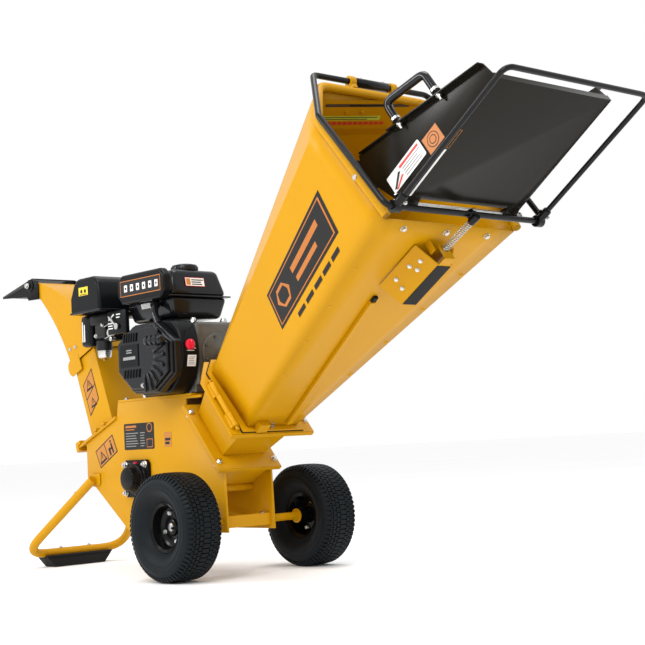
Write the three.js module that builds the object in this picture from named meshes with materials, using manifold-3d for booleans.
// Petrol wood chipper on two wheels: side-plate chassis, drum rotor, recoil-start engine,
// hinged hexagonal hopper, folding feed table, stop bars and a discharge chute.
// Millimetres, +Z up, +Y towards the discharge end, the pull-start side of the engine at -X.
import * as THREE from 'three';
import { mergeVertices } from 'three/addons/utils/BufferGeometryUtils.js';
import Module from 'manifold-3d';

const wasm = await Module();
wasm.setup();

// ---------------------------------------------------------------- driving dimensions
const AXLE_Y = 34.5;          // the axle stands this far behind the middle of the footprint
const GAP = 0.3;              // clearance between touching pieces
const SHEET = 3;              // thin sheet metal
const PLATE = 5;              // chassis plate

const WHEEL_R = 133;
const WHEEL_X = 218;          // centre plane of a wheel
const TYRE_HALF_W = 54;
const AXLE_R = 10;

const CHASSIS_X = 77.5;       // outer face of a side plate
const DECK_Z = 458;           // top edge of the side plates
const ROTOR = { y: 352, z: 249, drum: 92, tip: 122, shaft: 15 };
const CRANK = { y: 185, z: 563 };
const PULLEY = { x0: 118, x1: 144, rotor: 62, engine: 38 };

const THROAT = { y: -130, z: 350, angle: 49.8 };   // lower front corner of the hopper flange
const MOUTH = { y: -779, z: 780, angle: 55.6 };    // lower edge of the hopper mouth
const TABLE = { y: -797, z: 806, angle: -35.4 };   // feed table hinge
const STOP_BAR = { y: -825, z: 790, angle: 50.9 }; // lower run of the stop bar
const DUCT = { y: 448, z: 418, angle: -21.3 };     // front corner of the discharge flange
const FLAP = { y: 897, z: 835 };                   // pivot of the deflector flap

const RIM_R = 10;             // rolled edge of the hopper mouth
const STOP_BAR_R = 7;
const STOP_BAR_TOP = 445;     // height of the stop bar along its own slope
const PUSH_BAR_R = 6;
const PUSH_BAR_X = 226;
const TRAY_X = 181;           // outer face of a feed table cheek
const TRAY_LENGTH = 346;

// ---------------------------------------------------------------- materials
function finish(colour, roughness, metalness = 0) {
  return new THREE.MeshStandardMaterial({ color: colour, roughness, metalness });
}
const yellow = finish(0xe2a400, 0.38);
const satinBlack = finish(0x17181a, 0.4);
const blackPlastic = finish(0x16191b, 0.35);
const tyreRubber = finish(0x1c2226, 0.85);
const rubber = finish(0x121212, 0.8);
const steel = finish(0xb9bcc0, 0.35, 0.9);
const alloy = finish(0x8f9296, 0.5, 0.8);
const darkSteel = finish(0x4a4c4f, 0.5, 0.8);
const red = finish(0xc01020, 0.4);

// ---------------------------------------------------------------- solids
function toManifold(geometry) {
  const bare = geometry.clone();
  bare.deleteAttribute('normal');
  bare.deleteAttribute('uv');
  const merged = mergeVertices(bare, 1e-4);
  return new wasm.Manifold(new wasm.Mesh({
    numProp: 3,
    vertProperties: new Float32Array(merged.attributes.position.array),
    triVerts: new Uint32Array(merged.index.array),
  }));
}

function toGeometry(manifold) {
  const mesh = manifold.getMesh();
  const geometry = new THREE.BufferGeometry();
  geometry.setAttribute('position', new THREE.BufferAttribute(mesh.vertProperties, 3));
  geometry.setIndex(new THREE.BufferAttribute(mesh.triVerts, 1));
  geometry.computeVertexNormals();
  return geometry;
}

function join(...geometries) {
  return toGeometry(geometries.map(toManifold).reduce((sum, next) => sum.add(next)));
}

function cut(geometry, ...tools) {
  return toGeometry(tools.map(toManifold).reduce((rest, tool) => rest.subtract(tool), toManifold(geometry)));
}

function box(x0, x1, y0, y1, z0, z1) {
  const geometry = new THREE.BoxGeometry(x1 - x0, y1 - y0, z1 - z0);
  return geometry.translate((x0 + x1) / 2, (y0 + y1) / 2, (z0 + z1) / 2);
}

// Corner pairs as vectors, put in clockwise or counter-clockwise order.
function oriented(points, clockwise) {
  const corners = points.map(([a, b]) => new THREE.Vector2(a, b));
  return THREE.ShapeUtils.isClockWise(corners) === clockwise ? corners : corners.reverse();
}

function outlineShape(points, holes = []) {
  const shape = new THREE.Shape(oriented(points, false));
  for (const hole of holes) shape.holes.push(new THREE.Path(oriented(hole, true)));
  return shape;
}

function circle(a, b, radius, sides = 24) {
  return Array.from({ length: sides }, (_, i) => {
    const turn = (2 * Math.PI * i) / sides;
    return [a + radius * Math.cos(turn), b + radius * Math.sin(turn)];
  });
}

// A flat outline in (y, z), swept along X.
function sideProfile(points, x0, x1, holes = []) {
  const geometry = new THREE.ExtrudeGeometry(outlineShape(points, holes), { depth: x1 - x0, bevelEnabled: false });
  const axes = new THREE.Matrix4().makeBasis(
    new THREE.Vector3(0, 1, 0), new THREE.Vector3(0, 0, 1), new THREE.Vector3(1, 0, 0));
  return geometry.applyMatrix4(axes).translate(x0, 0, 0);
}

// A flat outline in (x, y), swept along Z.
function slab(points, z0, z1, holes = []) {
  const geometry = new THREE.ExtrudeGeometry(outlineShape(points, holes), { depth: z1 - z0, bevelEnabled: false });
  return geometry.translate(0, 0, z0);
}

function rodX(y, z, radius, x0, x1, sides = 24) {
  return sideProfile(circle(y, z, radius, sides), x0, x1);
}

// Turns a closed surface so that its faces point outwards.
function facingOut(geometry) {
  const place = geometry.attributes.position;
  const order = [...geometry.index.array];
  const corner = (i) => new THREE.Vector3().fromBufferAttribute(place, order[i]);
  let volume = 0;
  for (let i = 0; i < order.length; i += 3) volume += corner(i).dot(corner(i + 1).cross(corner(i + 2)));
  if (volume < 0) {
    for (let i = 0; i < order.length; i += 3) [order[i], order[i + 1]] = [order[i + 1], order[i]];
    geometry.setIndex(order);
  }
  geometry.computeVertexNormals();
  return geometry;
}

function surface(corners, index) {
  const geometry = new THREE.BufferGeometry();
  geometry.setAttribute('position', new THREE.Float32BufferAttribute(corners.flatMap((p) => p.toArray()), 3));
  geometry.setIndex(index);
  return facingOut(geometry);
}

// A round body about the X axis from a closed profile of (x, radius) points.
function turned(profile, x, y, z, segments = 32) {
  const points = profile.map(([along, radius]) => new THREE.Vector2(radius, along));
  points.push(points[0].clone());
  const geometry = new THREE.LatheGeometry(points, segments);
  return facingOut(geometry.rotateZ(-Math.PI / 2).translate(x, y, z));
}

// A sheet that follows a (y, z) line, its thickness laid to the left of the direction of travel.
function bentSheet(line, thickness, x0, x1) {
  const side = line.map((point, i) => {
    const before = line[Math.max(i - 1, 0)];
    const after = line[Math.min(i + 1, line.length - 1)];
    const run = new THREE.Vector2(after[0] - before[0], after[1] - before[1]).normalize();
    return [point[0] - run.y * thickness, point[1] + run.x * thickness];
  });
  return sideProfile([...line, ...side.reverse()], x0, x1);
}

// A rod bent along corner points: straight runs joined by rounded bends.
class BentLine extends THREE.Curve {
  constructor(corners, bendRadius, bendSteps = 4) {
    super();
    const at = corners.map((corner) => new THREE.Vector3(...corner));
    this.stations = [at[0]];
    for (let i = 1; i < at.length - 1; i += 1) {
      const back = at[i - 1].clone().sub(at[i]);
      const ahead = at[i + 1].clone().sub(at[i]);
      const half = back.angleTo(ahead) / 2;
      const reach = Math.min(bendRadius / Math.tan(half), back.length() * 0.45, ahead.length() * 0.45);
      const bend = new THREE.QuadraticBezierCurve3(
        at[i].clone().add(back.setLength(reach)), at[i], at[i].clone().add(ahead.setLength(reach)));
      this.stations.push(...bend.getPoints(bendSteps));
    }
    this.stations.push(at[at.length - 1]);
  }

  getPointAt(share) {
    return this.stations[Math.round(share * (this.stations.length - 1))].clone();
  }

  getPoint(share) {
    return this.getPointAt(share);
  }

  getTangentAt(share) {
    const i = Math.round(share * (this.stations.length - 1));
    const here = this.stations[i];
    const tangent = new THREE.Vector3();
    if (i > 0) tangent.add(here.clone().sub(this.stations[i - 1]).normalize());
    if (i < this.stations.length - 1) tangent.add(this.stations[i + 1].clone().sub(here).normalize());
    return tangent.normalize();
  }
}

function bentRod(corners, radius, bendRadius, { sides = 10, bore = 0 } = {}) {
  const line = new BentLine(corners, bendRadius);
  const holes = bore > 0 ? [circle(0, 0, bore, sides)] : [];
  return new THREE.ExtrudeGeometry(outlineShape(circle(0, 0, radius, sides), holes), {
    steps: line.stations.length - 1, extrudePath: line, bevelEnabled: false,
  });
}

// Walls between two rings of corners. Each ring is a list of [outer, inner] point pairs.
function lofted(ringA, ringB, closed) {
  const count = ringA.length;
  const corners = [...ringA, ...ringB].flatMap(([outer, inner]) => [outer, inner]);
  const index = [];
  const quad = (a, b, c, d) => index.push(a, b, c, a, c, d);
  const vertex = (ring, i, inner) => (ring * count + (i % count)) * 2 + inner;
  const walls = closed ? count : count - 1;
  for (let i = 0; i < walls; i += 1) {
    quad(vertex(0, i, 0), vertex(0, i + 1, 0), vertex(1, i + 1, 0), vertex(1, i, 0));
    quad(vertex(0, i, 1), vertex(1, i, 1), vertex(1, i + 1, 1), vertex(0, i + 1, 1));
    quad(vertex(0, i, 1), vertex(0, i + 1, 1), vertex(0, i + 1, 0), vertex(0, i, 0));
    quad(vertex(1, i, 0), vertex(1, i + 1, 0), vertex(1, i + 1, 1), vertex(1, i, 1));
  }
  if (!closed) {
    const last = count - 1;
    quad(vertex(0, 0, 0), vertex(1, 0, 0), vertex(1, 0, 1), vertex(0, 0, 1));
    quad(vertex(0, last, 0), vertex(0, last, 1), vertex(1, last, 1), vertex(1, last, 0));
  }
  return surface(corners, index);
}

// ---------------------------------------------------------------- local frames
// Every tilted assembly is turned about X only, so a frame is a place and an angle.
function frame({ y, z, angle }) {
  const group = new THREE.Group();
  group.position.set(0, y, z);
  group.rotation.x = THREE.MathUtils.degToRad(angle);
  group.updateMatrix();
  return group;
}

function pointIn(place, x, along, above) {
  return new THREE.Vector3(x, along, above).applyMatrix4(frame(place).matrix);
}

const chipper = new THREE.Group();
const throatFrame = frame(THROAT);
const mouthFrame = frame(MOUTH);
const tableFrame = frame(TABLE);
const stopBarFrame = frame(STOP_BAR);
const ductFrame = frame(DUCT);
chipper.add(throatFrame, mouthFrame, tableFrame, stopBarFrame, ductFrame);

function add(parent, name, geometry, material) {
  const mesh = new THREE.Mesh(geometry, material);
  mesh.name = name;
  parent.add(mesh);
}

const SIDES = [['left', -1], ['right', 1]];

// ---------------------------------------------------------------- wheels and axle
function tyre(x) {
  const half = TYRE_HALF_W;
  const bead = 39.5;
  const profile = [
    [-bead, 52.3], [bead, 52.3], [bead, 59.6], [half - 6, 66], [half, 84], [half, 104],
    [half - 5, 122], [half - 14, 130], [half - 28, WHEEL_R], [28 - half, WHEEL_R], [14 - half, 130],
    [5 - half, 122], [-half, 104], [-half, 84], [6 - half, 66], [-bead, 59.6],
  ];
  return turned(profile, x, 0, WHEEL_R);
}

// The rim is a flanged drum with a dished disc and a long hub that reaches inwards.
function rim(x, outward) {
  const hub = [[-44, AXLE_R + GAP], [8, AXLE_R + GAP], [8, 19], [2, 19], [2, 50], [-2, 50], [-2, 19], [-44, 19]];
  const drum = [[-44, 48], [44, 48], [44, 59], [40, 59], [40, 52], [-40, 52], [-40, 59], [-44, 59]];
  const facing = (points) => points.map(([along, radius]) => [outward * along, radius]);
  return join(turned(facing(hub), x, 0, WHEEL_R), turned(facing(drum), x, 0, WHEEL_R));
}

for (const [side, sign] of SIDES) {
  add(chipper, `tyre_${side}`, tyre(sign * WHEEL_X), tyreRubber);
  add(chipper, `rim_${side}`, rim(sign * WHEEL_X, sign), satinBlack);
}
const AXLE_HALF = WHEEL_X + 12;
const beamX = CHASSIS_X - PLATE - GAP;
const beam = box(-beamX, beamX, -15, 15, WHEEL_R - 15, WHEEL_R + 15);
add(chipper, 'axle', join(beam, rodX(0, WHEEL_R, AXLE_R, -AXLE_HALF, AXLE_HALF)), yellow);

// ---------------------------------------------------------------- chassis
const FLANGE_DEPTH = 127;     // from the hopper flange down to the chamber flange
function chamberEdge(along) {
  const at = pointIn(THROAT, 0, along, -FLANGE_DEPTH - 9);
  return [at.y, at.z];
}

const platePoints = [
  [-28, 108], [410, 108], [567, 228], [607, 235], [607, 355], [DUCT.y, DUCT.z - 0.5], [441, DECK_Z],
  [62, DECK_Z], [62, 451], [126, 451], [126, 434], chamberEdge(214), chamberEdge(3),
];
for (const [side, sign] of SIDES) {
  const x0 = sign < 0 ? -CHASSIS_X : CHASSIS_X - PLATE;
  const holes = [circle(0, WHEEL_R, AXLE_R + GAP), circle(ROTOR.y, ROTOR.z, 24)];
  add(chipper, `${side}_side_plate`, sideProfile(platePoints, x0, x0 + PLATE, holes), yellow);
}
add(chipper, 'engine_deck', box(-79, 100, 100, 438, DECK_Z + GAP, DECK_Z + 6), yellow);

const insideX = CHASSIS_X - PLATE - GAP;
function casingLine() {
  const inner = ROTOR.tip + 7;
  const arc = [];
  for (let turn = 196; turn <= 306; turn += 10) {
    const angle = THREE.MathUtils.degToRad(turn);
    arc.push([ROTOR.y + inner * Math.cos(angle), ROTOR.z + inner * Math.sin(angle)]);
  }
  return [...arc, [560, 237], [602, 262], [602, 350]];
}
add(chipper, 'drum_casing', bentSheet(casingLine(), -SHEET, -insideX, insideX), yellow);

const infeedFloor = bentSheet([[-8, 261], [58, 226], [206, 214]], -SHEET, -insideX, insideX);
add(chipper, 'infeed_floor', join(infeedFloor, rodX(56, 216, 9, -insideX, insideX, 16)), yellow);
add(chipper, 'infeed_roof', bentSheet([[112, 412], [235, 372], [340, 392]], SHEET, -insideX, insideX), yellow);
add(chipper, 'anvil', box(-insideX + 2, insideX - 2, 178, 226, 218, 229), steel);

// ---------------------------------------------------------------- rotor
function rotorBody() {
  const { y, z, drum, shaft } = ROTOR;
  const body = join(rodX(y, z, drum, -62, 62, 32), rodX(y, z, shaft, -98, 150));
  const seats = [0, 180].map((turn) => knifeSeat(turn, 0.35));
  return cut(body, ...seats);
}

// A knife lies flat on the drum in a seat, its edge past the drum's surface.
function knifeSeat(turn, slack) {
  const seat = box(-56 - slack, 56 + slack, -30 - slack, 100, 66 - slack, 76 + slack);
  return seat.rotateX(THREE.MathUtils.degToRad(turn)).translate(0, ROTOR.y, ROTOR.z);
}

function knife(turn) {
  const blade = box(-56, 56, -30, 95, 66, 76);
  return blade.rotateX(THREE.MathUtils.degToRad(turn)).translate(0, ROTOR.y, ROTOR.z);
}
add(chipper, 'rotor_drum', rotorBody(), darkSteel);
add(chipper, 'rotor_knife_1', knife(0), steel);
add(chipper, 'rotor_knife_2', knife(180), steel);

function bearing(sign) {
  const { y, z, shaft } = ROTOR;
  const inner = CHASSIS_X + GAP;
  const flange = box(inner, inner + 11, y - 58, y + 58, z - 50, z + 50);
  const capDepth = sign > 0 ? 26 : 42;
  const boreDepth = sign > 0 ? 40 : 39;
  const block = join(flange, rodX(y, z, 42, inner, inner + 20, 28), rodX(y, z, 31, inner, inner + capDepth, 28));
  const bored = cut(block, rodX(y, z, shaft + GAP, inner - 1, inner + boreDepth));
  return sign > 0 ? bored : bored.rotateZ(Math.PI).translate(0, 2 * y, 0);
}
add(chipper, 'bearing_left', bearing(-1), satinBlack);
add(chipper, 'bearing_right', bearing(1), satinBlack);

// ---------------------------------------------------------------- belt drive
function beltLoop(growth) {
  const { y, z } = ROTOR;
  const run = new THREE.Vector2(CRANK.y - y, CRANK.z - z);
  const lean = Math.acos((PULLEY.rotor - PULLEY.engine) / run.length());
  const heading = run.angle();
  const points = [];
  const steps = 12;
  for (let i = 0; i <= steps; i += 1) {
    const turn = heading - lean + (2 * lean * i) / steps;
    points.push([CRANK.y + (PULLEY.engine + growth) * Math.cos(turn), CRANK.z + (PULLEY.engine + growth) * Math.sin(turn)]);
  }
  for (let i = 0; i <= steps; i += 1) {
    const turn = heading + lean + ((2 * Math.PI - 2 * lean) * i) / steps;
    points.push([y + (PULLEY.rotor + growth) * Math.cos(turn), z + (PULLEY.rotor + growth) * Math.sin(turn)]);
  }
  return points;
}
const pulleyBore = ROTOR.shaft + GAP;
add(chipper, 'rotor_pulley', sideProfile(circle(ROTOR.y, ROTOR.z, PULLEY.rotor, 32), PULLEY.x0, PULLEY.x1,
  [circle(ROTOR.y, ROTOR.z, pulleyBore)]), darkSteel);
add(chipper, 'crankshaft', join(rodX(CRANK.y, CRANK.z, 12, 73, 150),
  rodX(CRANK.y, CRANK.z, PULLEY.engine, PULLEY.x0, PULLEY.x1, 32)), steel);
const beltSlack = 1.6;
add(chipper, 'drive_belt', sideProfile(beltLoop(beltSlack + 8), PULLEY.x0 + 5, PULLEY.x1 - 5, [beltLoop(beltSlack)]),
  rubber);
function beltGuard() {
  const wall = sideProfile(beltLoop(24), PULLEY.x0 - 8, PULLEY.x1 + 12, [beltLoop(24 - SHEET)]);
  const face = sideProfile(beltLoop(24), PULLEY.x1 + 9, PULLEY.x1 + 12);
  return join(wall, face);
}
add(chipper, 'belt_guard', beltGuard(), yellow);

// ---------------------------------------------------------------- feed throat
// Rings of the throat and hopper are six corners: floor, kink and roof on each side.
function ring(place, above, floor, kink, roof) {
  const corners = [[-floor[0], floor[1]], [-kink[0], kink[1]], [-roof[0], roof[1]],
    [roof[0], roof[1]], [kink[0], kink[1]], [floor[0], floor[1]]];
  const inner = insetOutline(corners, SHEET);
  return corners.map((corner, i) => [pointIn(place, ...corner, above), pointIn(place, ...inner[i], above)]);
}

// Moves every edge of a convex clockwise outline inwards.
function insetOutline(corners, distance) {
  const edges = corners.map((corner, i) => {
    const next = corners[(i + 1) % corners.length];
    const run = new THREE.Vector2(next[0] - corner[0], next[1] - corner[1]).normalize();
    const inward = new THREE.Vector2(run.y, -run.x).multiplyScalar(distance);
    return { start: new THREE.Vector2(...corner).add(inward), run };
  });
  return edges.map((edge, i) => {
    const before = edges[(i + edges.length - 1) % edges.length];
    const across = before.run.cross(edge.run);
    const step = edge.start.clone().sub(before.start).cross(edge.run) / across;
    return before.start.clone().addScaledVector(before.run, step).toArray();
  });
}

function hexOutline(floor, kink, roof) {
  return [[-floor[0], floor[1]], [-kink[0], kink[1]], [-roof[0], roof[1]],
    [roof[0], roof[1]], [kink[0], kink[1]], [floor[0], floor[1]]];
}
const hopperFoot = { floor: [80, 16], kink: [88, 203], roof: [56, 240] };
const throatFoot = { floor: [68, 42], kink: [68, 186], roof: [54, 204] };
const hopperOpening = insetOutline(hexOutline(hopperFoot.floor, hopperFoot.kink, hopperFoot.roof), SHEET);
const throatOpening = insetOutline(hexOutline(throatFoot.floor, throatFoot.kink, throatFoot.roof), SHEET);

const upperFlange = hexOutline([133, 0], [133, 175], [85, 246]);
const lowerFlange = [[-100, -2], [-100, 218], [100, 218], [100, -2]];
add(throatFrame, 'throat_lower_flange', slab(lowerFlange, -FLANGE_DEPTH - 4, -FLANGE_DEPTH, [throatOpening]), yellow);
add(throatFrame, 'chamber_flange',
  slab(lowerFlange, -FLANGE_DEPTH - 8.6, -FLANGE_DEPTH - 4 - GAP, [throatOpening]), yellow);
const throatBottomRing = ring(THROAT, -FLANGE_DEPTH + GAP, throatFoot.floor, throatFoot.kink, throatFoot.roof);
const throatTopRing = ring(THROAT, -4 - GAP, hopperFoot.floor, hopperFoot.kink, hopperFoot.roof);
add(chipper, 'throat_duct', lofted(throatBottomRing, throatTopRing, true), yellow);

// ---------------------------------------------------------------- hopper
const SEAL = 2.7;
const FLANGE_BASE = SEAL + 2 * GAP;
const hopperFlange = hexOutline([97, 3], [101, 203], [66, 248]);
add(throatFrame, 'hopper_seal', slab(hexOutline([99, 2], [103, 204], [67, 250]), GAP, GAP + SEAL, [hopperOpening]),
  rubber);

const mouthRim = { floor: [206, 0], kink: [246, 270], roof: [172, 400] };
const hopperStart = ring(THROAT, FLANGE_BASE + 4 + GAP, hopperFoot.floor, hopperFoot.kink, hopperFoot.roof);
const hopperEnd = ring(MOUTH, -RIM_R - GAP - 1, mouthRim.floor, mouthRim.kink, mouthRim.roof);

// One bent sheet of the hopper, from corner `first` to corner `last` of the six.
function hopperSheet(first, last) {
  const pick = (wholeRing) => {
    const part = [];
    for (let i = first; i <= last; i += 1) {
      const neighbour = i === first ? i + 1 : i - 1;
      const trim = i === first || i === last ? GAP / 2 : 0;
      part.push(wholeRing[i % 6].map((corner, k) => {
        const towards = wholeRing[neighbour % 6][k].clone().sub(corner).normalize();
        return corner.clone().addScaledVector(towards, trim);
      }));
    }
    return part;
  };
  return lofted(pick(hopperStart), pick(hopperEnd), false);
}
add(chipper, 'hopper_left_side', hopperSheet(0, 2), yellow);
add(chipper, 'hopper_roof', hopperSheet(2, 3), yellow);
add(chipper, 'hopper_right_side', hopperSheet(3, 5), yellow);
add(chipper, 'hopper_floor', hopperSheet(5, 6), yellow);

// The rolled mouth edge carries the two rings in which the stop bar turns.
const RING_X = 65;
const stopBarTop = pointIn(STOP_BAR, 0, STOP_BAR_TOP, 0);
function mouthRimSolid() {
  const { floor, kink, roof } = mouthRim;
  const corners = [[-floor[0], 0], [-kink[0], kink[1]], [-roof[0], roof[1]],
    [roof[0], roof[1]], [kink[0], kink[1]], [floor[0], 0]];
  const tube = bentRod(corners.map(([x, along]) => [x, along, 0]), RIM_R, 45, { sides: 12, bore: 7.5 });
  tube.applyMatrix4(mouthFrame.matrix);
  const rimTop = pointIn(MOUTH, 0, roof[1] + RIM_R - 3, 0);
  const rings = [-RING_X, RING_X].map((x) => {
    const post = sideProfile([[rimTop.y - 9, rimTop.z], [rimTop.y + 9, rimTop.z],
      [stopBarTop.y + 9, stopBarTop.z], [stopBarTop.y - 9, stopBarTop.z]], x - 6, x + 6);
    return join(post, rodX(stopBarTop.y, stopBarTop.z, 13, x - 6, x + 6, 16));
  });
  const bores = [-RING_X, RING_X].map((x) => rodX(stopBarTop.y, stopBarTop.z, STOP_BAR_R + 0.5, x - 8, x + 8, 16));
  return cut(join(tube, ...rings), ...bores);
}
add(chipper, 'mouth_rim', mouthRimSolid(), yellow);

// Hinge on the left edge of the throat flange: the hopper swings about this pin.
const HINGE = { x: -114, above: 10 };
const hingePin = bentRod([[HINGE.x, 14, HINGE.above], [HINGE.x, 164, HINGE.above]], 3.5, 0, { sides: 12 });
add(throatFrame, 'hopper_hinge_pin', hingePin, steel);
function knuckle(from, to) {
  return bentRod([[HINGE.x, from, HINGE.above], [HINGE.x, to, HINGE.above]], 7.5, 0, { sides: 16 });
}
const pinBore = bentRod([[HINGE.x, 0, HINGE.above], [HINGE.x, 180, HINGE.above]], 3.8, 0, { sides: 12 });

function throatFlangeWithHinge() {
  const parts = [slab(upperFlange, -4, 0, [hopperOpening])];
  for (const [from, to] of [[18, 59.6], [118.4, 160]]) {
    parts.push(knuckle(from, to), box(-124, HINGE.x, from, to, -2, 9));
  }
  return cut(join(...parts), pinBore);
}
add(throatFrame, 'throat_upper_flange', throatFlangeWithHinge(), yellow);

function hopperFlangeWithHinge() {
  const leaf = box(HINGE.x, -98, 60, 118, FLANGE_BASE, FLANGE_BASE + 4);
  const plate = slab(hopperFlange, FLANGE_BASE, FLANGE_BASE + 4, [hopperOpening]);
  return cut(join(plate, leaf, knuckle(60, 118)), pinBore);
}
add(throatFrame, 'hopper_flange', hopperFlangeWithHinge(), yellow);

// Channel under the hopper floor that holds the stop switch.
const floorStart = pointIn(THROAT, 0, hopperFoot.floor[1], FLANGE_BASE + 4);
const floorEnd = pointIn(MOUTH, 0, 0, 0);
const floorAngle = THREE.MathUtils.radToDeg(Math.atan2(floorStart.z - floorEnd.z, floorStart.y - floorEnd.y));
const floorFrame = frame({ y: floorEnd.y, z: floorEnd.z, angle: floorAngle });
chipper.add(floorFrame);
function switchBox() {
  const from = 78;
  const to = 218;
  const outer = [[-62, -4], [-22, -56], [22, -56], [62, -4]];
  const inner = [[56, -4], [20, -52.5], [-20, -52.5], [-56, -4]];
  const shell = slab([...outer, ...inner], 0, to - from);
  return shell.rotateX(Math.PI / 2).translate(0, to, 0);
}
add(floorFrame, 'switch_box', switchBox(), yellow);
const hang = hopperEnd[2][1].clone().lerp(hopperStart[2][1], 0.2);
add(chipper, 'hopper_curtain', box(-112, 112, hang.y - 1.5, hang.y + 1.5, hang.z - 130, hang.z - 4), rubber);

// ---------------------------------------------------------------- stop bar and push bar
function stopBar() {
  const corners = [[-4, STOP_BAR_TOP], [-180, STOP_BAR_TOP], [-260, 286], [-250, 0],
    [250, 0], [260, 286], [180, STOP_BAR_TOP], [4, STOP_BAR_TOP]];
  return bentRod(corners.map(([x, along]) => [x, along, 0]), STOP_BAR_R, 18, { sides: 10 });
}
add(stopBarFrame, 'stop_bar', stopBar(), satinBlack);
const sleeveBore = [circle(0, 0, STOP_BAR_R + GAP, 16)];
const sleeve = slab(circle(0, 0, 11, 16), -50, 50, sleeveBore).rotateY(Math.PI / 2);
add(stopBarFrame, 'stop_bar_sleeve', sleeve.translate(0, STOP_BAR_TOP, 0), satinBlack);

function pushBar() {
  const start = [STOP_BAR.y, STOP_BAR.z];
  const along = (reach) => [start[0] - reach * 0.822, start[1] + reach * 0.569];
  const near = along(10);
  const far = along(384);
  const corners = [[-PUSH_BAR_X, ...near], [-PUSH_BAR_X, ...far], [PUSH_BAR_X, ...far], [PUSH_BAR_X, ...near]];
  const bar = bentRod(corners, PUSH_BAR_R, 20, { sides: 10 });
  const eyes = [-1, 1].map((sign) => rodX(...start, 12.5, sign * PUSH_BAR_X - 5, sign * PUSH_BAR_X + 5, 16));
  const bores = [-1, 1].map((sign) => rodX(...start, STOP_BAR_R + 0.5, sign * PUSH_BAR_X - 7, sign * PUSH_BAR_X + 7, 16));
  return cut(join(bar, ...eyes), ...bores);
}
add(chipper, 'push_bar', pushBar(), satinBlack);

const springTop = pointIn(STOP_BAR, 0, -STOP_BAR_R - 8, -8);
const springFoot = pointIn({ y: floorEnd.y, z: floorEnd.z, angle: floorAngle }, 0, 52, -28);
const springCorners = [springTop.toArray(), springFoot.toArray()];
add(chipper, 'return_spring', bentRod(springCorners, 7.5, 0, { sides: 12 }), steel);

// ---------------------------------------------------------------- feed table
// Along the table frame, +Y runs back into the hopper, so the tray reaches towards -Y.
function feedTable() {
  const floor = box(-TRAY_X, TRAY_X, -TRAY_LENGTH, -16, -1, -1 + SHEET);
  const cheek = [[8, 20], [44, 118], [26, 167], [-(TRAY_LENGTH - 8), 50], [-TRAY_LENGTH, -1], [-16, -1]];
  const parts = [floor];
  for (const [, sign] of SIDES) {
    const outside = sign * TRAY_X;
    const inside = sign * (TRAY_X - SHEET);
    parts.push(sideProfile(cheek, Math.min(outside, inside), Math.max(outside, inside)));
    const lipEdge = sign * (TRAY_X + 15);
    const lip = [[-75, 133.8], [-(TRAY_LENGTH - 8), 47], [-(TRAY_LENGTH - 8), 50], [-75, 136.8]];
    parts.push(sideProfile(lip, Math.min(inside, lipEdge), Math.max(inside, lipEdge)));
    const narrowEdge = sign * (TRAY_X + 6);
    const innerLip = [[20, 165.1], [-75, 133.8], [-75, 136.8], [20, 168.1]];
    parts.push(sideProfile(innerLip, Math.min(inside, narrowEdge), Math.max(inside, narrowEdge)));
    parts.push(rodX(0, 0, 9, Math.min(inside, inside - sign * 40), Math.max(inside, inside - sign * 40), 16));
    const web = [[-24, -1], [-24, 2], [0, 8], [8, 0], [0, -8]];
    parts.push(sideProfile(web, Math.min(inside, inside - sign * 40), Math.max(inside, inside - sign * 40)));
  }
  parts.push(box(-TRAY_X, TRAY_X, -TRAY_LENGTH, -TRAY_LENGTH + SHEET, -1, 14));
  const pinBore = rodX(0, 0, 4.3, -TRAY_X - 5, TRAY_X + 5, 16);
  return cut(join(...parts), pinBore);
}
add(tableFrame, 'feed_table', feedTable(), satinBlack);

function tableHandle() {
  const x = -TRAY_X - 8;
  const lipTop = (along) => 136.8 - (along - 75) * (86.8 / (TRAY_LENGTH - 83)) + 8.6;
  const feet = [107, 222];
  const corners = [[x, -feet[0], lipTop(feet[0])], [x, -feet[0], lipTop(feet[0]) + 52],
    [x, -feet[1], lipTop(feet[1]) + 52], [x, -feet[1], lipTop(feet[1])]];
  return bentRod(corners, 7.5, 16, { sides: 8 });
}
add(tableFrame, 'table_handle', tableHandle(), blackPlastic);

// ---------------------------------------------------------------- discharge
const DUCT_X = 62;
function rectRing(place, x, y0, y1, above) {
  const wall = SHEET;
  const outer = [[-x, y0], [-x, y1], [x, y1], [x, y0]];
  const inner = [[-x + wall, y0 + wall], [-x + wall, y1 - wall], [x - wall, y1 - wall], [x - wall, y0 + wall]];
  return outer.map((corner, i) => [pointIn(place, ...corner, above), pointIn(place, ...inner[i], above)]);
}
const ductFlangeHole = [[-DUCT_X + SHEET, 48], [-DUCT_X + SHEET, 157], [DUCT_X - SHEET, 157], [DUCT_X - SHEET, 48]];
add(ductFrame, 'discharge_flange', slab([[-80, 3], [-80, 208], [80, 208], [80, 3]], 0, 5, [ductFlangeHole]), yellow);
const ductHeight = 238;
add(chipper, 'discharge_duct', lofted(rectRing(DUCT, DUCT_X, 45, 160, 5 + GAP),
  rectRing(DUCT, DUCT_X, 45, 160, ductHeight), true), yellow);

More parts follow.
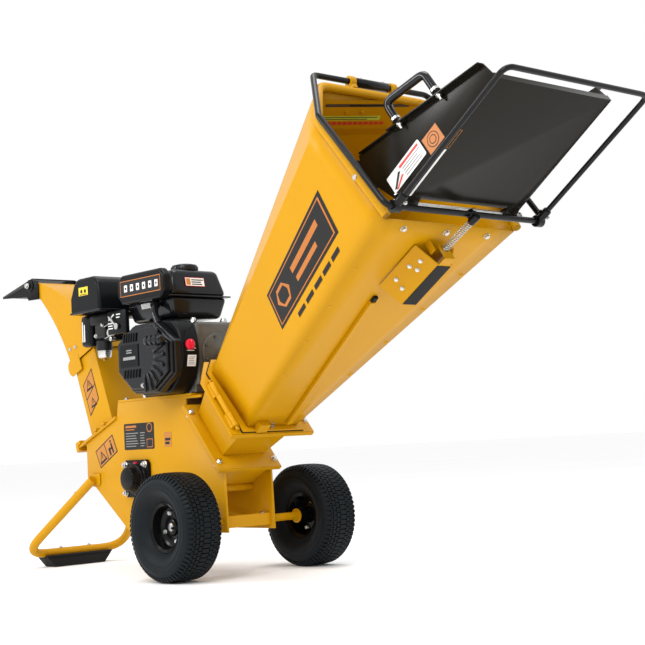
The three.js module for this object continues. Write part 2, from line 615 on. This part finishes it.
// The chute bends backwards: stations of its lower and upper edge, seen from the side.
function chutePath() {
  const lower = [];
  const upper = [];
  const start = {
    lower: pointIn(DUCT, 0, 166, ductHeight + GAP),
    upper: pointIn(DUCT, 0, 39, ductHeight + GAP),
  };
  const lowerBend = new THREE.QuadraticBezierCurve(
    new THREE.Vector2(start.lower.y, start.lower.z), new THREE.Vector2(752, 706), new THREE.Vector2(862, 800));
  const upperBend = new THREE.QuadraticBezierCurve(
    new THREE.Vector2(start.upper.y, start.upper.z), new THREE.Vector2(650, 790), new THREE.Vector2(868, 842));
  const steps = 7;
  for (let i = 0; i <= steps; i += 1) {
    lower.push(lowerBend.getPoint(i / steps));
    upper.push(upperBend.getPoint(i / steps));
  }
  return { lower, upper };
}

function dischargeChute() {
  const { lower, upper } = chutePath();
  const outline = [...lower.map((p) => p.toArray()), ...upper.map((p) => p.toArray()).reverse()];
  const outerX = DUCT_X + 6;
  const block = sideProfile(outline, -outerX, outerX);
  const middle = lower.map((p, i) => p.clone().add(upper[i]).multiplyScalar(0.5));
  const shrink = (edge) => edge.map((p, i) => {
    const inward = middle[i].clone().sub(p);
    return p.clone().add(inward.setLength(SHEET + 2.7)).toArray();
  });
  const lowInner = shrink(lower);
  const upInner = shrink(upper);
  const stretch = (line) => {
    const first = new THREE.Vector2(...line[0]);
    const second = new THREE.Vector2(...line[1]);
    const last = new THREE.Vector2(...line[line.length - 1]);
    const nextLast = new THREE.Vector2(...line[line.length - 2]);
    const before = first.clone().add(first.clone().sub(second).setLength(4));
    const after = last.clone().add(last.clone().sub(nextLast).setLength(4));
    return [before.toArray(), ...line, after.toArray()];
  };
  const hollow = sideProfile([...stretch(lowInner), ...stretch(upInner).reverse()], -outerX + SHEET, outerX - SHEET);
  return cut(block, hollow);
}
add(chipper, 'discharge_chute', dischargeChute(), yellow);

function deflectorFlap() {
  const cheek = [[1063, 814], [1063, 820], [884, 857], [852, 846], [850, 790], [908, 792], [916, 803]];
  const x = 74;
  const cheeks = [[-x, -x + 2.5], [x - 2.5, x]].map(([x0, x1]) => sideProfile(cheek, x0, x1,
    [circle(FLAP.y, FLAP.z, 4.4, 12)]));
  const top = sideProfile([[1063, 817], [1063, 820], [884, 857], [884, 854]], -x, x);
  return join(...cheeks, top);
}
add(chipper, 'deflector_flap', deflectorFlap(), satinBlack);

// ---------------------------------------------------------------- stand
function standLeg() {
  const top = [CHASSIS_X + 13.5, 560, 250];
  const low = [170, 815, 41];
  const mirror = ([x, y, z]) => [-x, y, z];
  return bentRod([mirror(top), mirror(low), low, top], 12.5, 52, { sides: 12 });
}
add(chipper, 'stand_leg', standLeg(), yellow);
function standFoot() {
  const outline = [[-84, 0], [84, 0], [108, 28], [-108, 28]];
  return slab(outline, -30, 30).rotateX(Math.PI / 2).translate(0, 815, 0);
}
add(chipper, 'stand_foot', standFoot(), rubber);

// ---------------------------------------------------------------- engine
const BASE_Z = DECK_Z + 6 + GAP;
function crankcase() {
  const profile = [[78, BASE_Z], [330, BASE_Z], [330, BASE_Z + 14], [300, BASE_Z + 20], [300, 610], [265, 648],
    [110, 648], [78, 610]];
  return sideProfile(profile, -69, 72);
}
add(chipper, 'crankcase', crankcase(), alloy);
add(chipper, 'cylinder', sideProfile([[300.4, 540], [392, 565], [430, 592], [430, 652], [300.4, 640]],
  -60, 62), darkSteel);
function fanHousing() {
  const round = [];
  for (let turn = -125; turn <= 65; turn += 19) {
    const angle = THREE.MathUtils.degToRad(turn + 180);
    const height = CRANK.z + 6 + 122 * Math.sin(angle);
    round.push([CRANK.y + 122 * Math.cos(angle), THREE.MathUtils.clamp(height, BASE_Z + 1, 652)]);
  }
  const top = [[310, 652], [340, 640], [340, 560], [300, 490]];
  return sideProfile([...round, ...[...top].reverse()], -128, -69 - GAP);
}
add(chipper, 'fan_housing', fanHousing(), blackPlastic);
function recoilCover() {
  const half = 122;
  const corner = 46;
  const { y, z } = CRANK;
  const outline = [[y - half, z - 50], [y - corner, z - 96], [y + 62, z - 92], [y + half + 8, z - 36],
    [y + half + 8, z + 48], [y + corner + 8, z + 88], [y - corner, z + 88], [y - half, z + 34]];
  const front = outline.map(([a, b]) => [y + (a - y) * 0.9, z + (b - z) * 0.9]);
  const ringBack = outline.map(([a, b]) => new THREE.Vector3(-128 - GAP, a, b));
  const ringMiddle = outline.map(([a, b]) => new THREE.Vector3(-160, a, b));
  const ringFront = front.map(([a, b]) => new THREE.Vector3(-173, a, b));
  return hullStack([ringBack, ringMiddle, ringFront]);
}

// A solid from matching rings of points, closed by a flat face at each end.
function hullStack(rings) {
  const count = rings[0].length;
  const corners = rings.flat();
  const index = [];
  for (let level = 0; level < rings.length - 1; level += 1) {
    for (let i = 0; i < count; i += 1) {
      const a = level * count + i;
      const b = level * count + ((i + 1) % count);
      index.push(a, b, b + count, a, b + count, a + count);
    }
  }
  const lastStart = (rings.length - 1) * count;
  for (let i = 1; i < count - 1; i += 1) {
    index.push(0, i + 1, i);
    index.push(lastStart, lastStart + i, lastStart + i + 1);
  }
  return surface(corners, index);
}
add(chipper, 'recoil_cover', recoilCover(), blackPlastic);
add(chipper, 'recoil_grip', box(-196, -173.4, 66, 142, 588, 612), blackPlastic);

// A rounded tank or box from stacked rectangles: [z, x0, x1, y0, y1] per level.
function stackedBox(levels, corner) {
  const rings = levels.map(([z, x0, x1, y0, y1]) => [
    [x0 + corner, y0], [x1 - corner, y0], [x1, y0 + corner], [x1, y1 - corner],
    [x1 - corner, y1], [x0 + corner, y1], [x0, y1 - corner], [x0, y0 + corner],
  ].map(([x, y]) => new THREE.Vector3(x, y, z)));
  return hullStack(rings);
}
const tankShell = stackedBox([[662, -98, 58, 138, 318], [674, -108, 70, 127, 330], [720, -112, 74, 123, 334],
  [776, -100, 60, 132, 322], [791, -84, 44, 146, 308]], 16);
const tankSeam = slab([[-118, 117], [80, 117], [80, 340], [-118, 340]], 717, 722);
add(chipper, 'fuel_tank', join(tankShell, tankSeam), blackPlastic);
const capProfile = slab(circle(-16, 190, 36, 28), 791.4, 807);
add(chipper, 'fuel_cap', join(capProfile, slab(circle(-16, 190, 30, 28), 806, 813)), blackPlastic);
add(chipper, 'tank_guard', hullStack([
  [[104, 716], [322, 722], [322, 782], [104, 772]].map(([y, z]) => new THREE.Vector3(-146, y, z)),
  [[104, 712], [322, 712], [322, 790], [104, 778]].map(([y, z]) => new THREE.Vector3(-119, y, z)),
]), blackPlastic);
add(chipper, 'air_filter', stackedBox([[706, -158, -48, 388, 532], [720, -162, -44, 384, 536],
  [785, -156, -50, 390, 530], [806, -140, -66, 406, 500]], 14), blackPlastic);
function carburettor() {
  const body = box(-126, -62, 404, 500, 622, 690);
  const elbow = box(-120, -66, 480, 545, 616, 705.6);
  const bowl = slab(circle(-96, 468, 23, 20), 576, 624);
  return join(body, elbow, bowl);
}
add(chipper, 'carburettor', carburettor(), darkSteel);
add(chipper, 'muffler', stackedBox([[694, -40, 104, 350, 500], [706, -42, 110, 344, 506],
  [790, -42, 110, 344, 506], [806, -30, 98, 358, 492]], 14), darkSteel);
const switchDisc = slab(circle(0, 0, 14, 20), 0, 14).rotateX(Math.PI / 2);
add(chipper, 'engine_switch', switchDisc.translate(-104, 62, 586), red);
function lever(y, z, reach, rise, x0, x1) {
  const arm = sideProfile([[y - 8, z], [y, z - 8], [y + reach, z + rise - 5], [y + reach, z + rise + 5]], x0, x1);
  return join(arm, rodX(y, z, 9, x0, x1, 16));
}
add(chipper, 'throttle_lever', lever(352, 660, 40, 24, -134, -130), steel);

chipper.position.y = AXLE_Y;
export default chipper;
